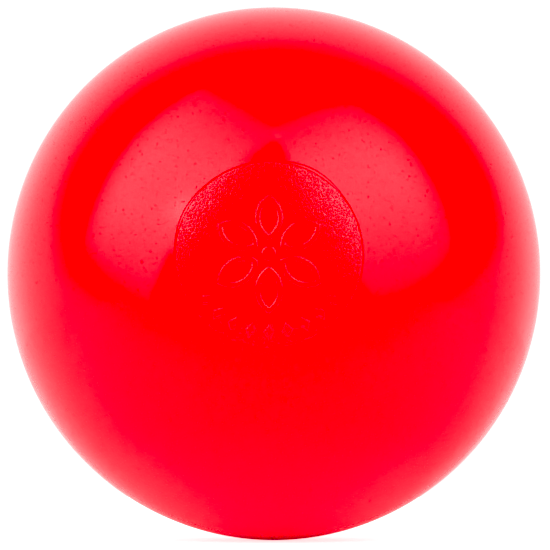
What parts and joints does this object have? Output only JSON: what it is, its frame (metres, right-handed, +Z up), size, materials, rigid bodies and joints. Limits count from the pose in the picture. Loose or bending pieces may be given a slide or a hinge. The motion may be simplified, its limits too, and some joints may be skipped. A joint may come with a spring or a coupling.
{
  "type": "hollow plastic ball",
  "caption": "Hollow glossy moulded plastic ball for rolling, squeezing and hand massage, closed by a round raised disc with plain line relief.",
  "frame": {"origin": "centre of the ball", "axes": "+Z is up, -Y is the front, along the axis of the closing disc, and +X is to the right as seen from the front"},
  "size_m": [0.075, 0.0753, 0.075],
  "materials": {
    "ball_plastic": "smooth glossy moulded polyethylene with a faint ripple and fine handling marks",
    "disc_plastic": "the same polyethylene with a fine grain, less glossy than the ball"
  },
  "bodies": {
    "root": {"front_shell": "ball_plastic", "rear_shell": "ball_plastic", "closing_disc": "disc_plastic"}
  },
  "joints": []
}
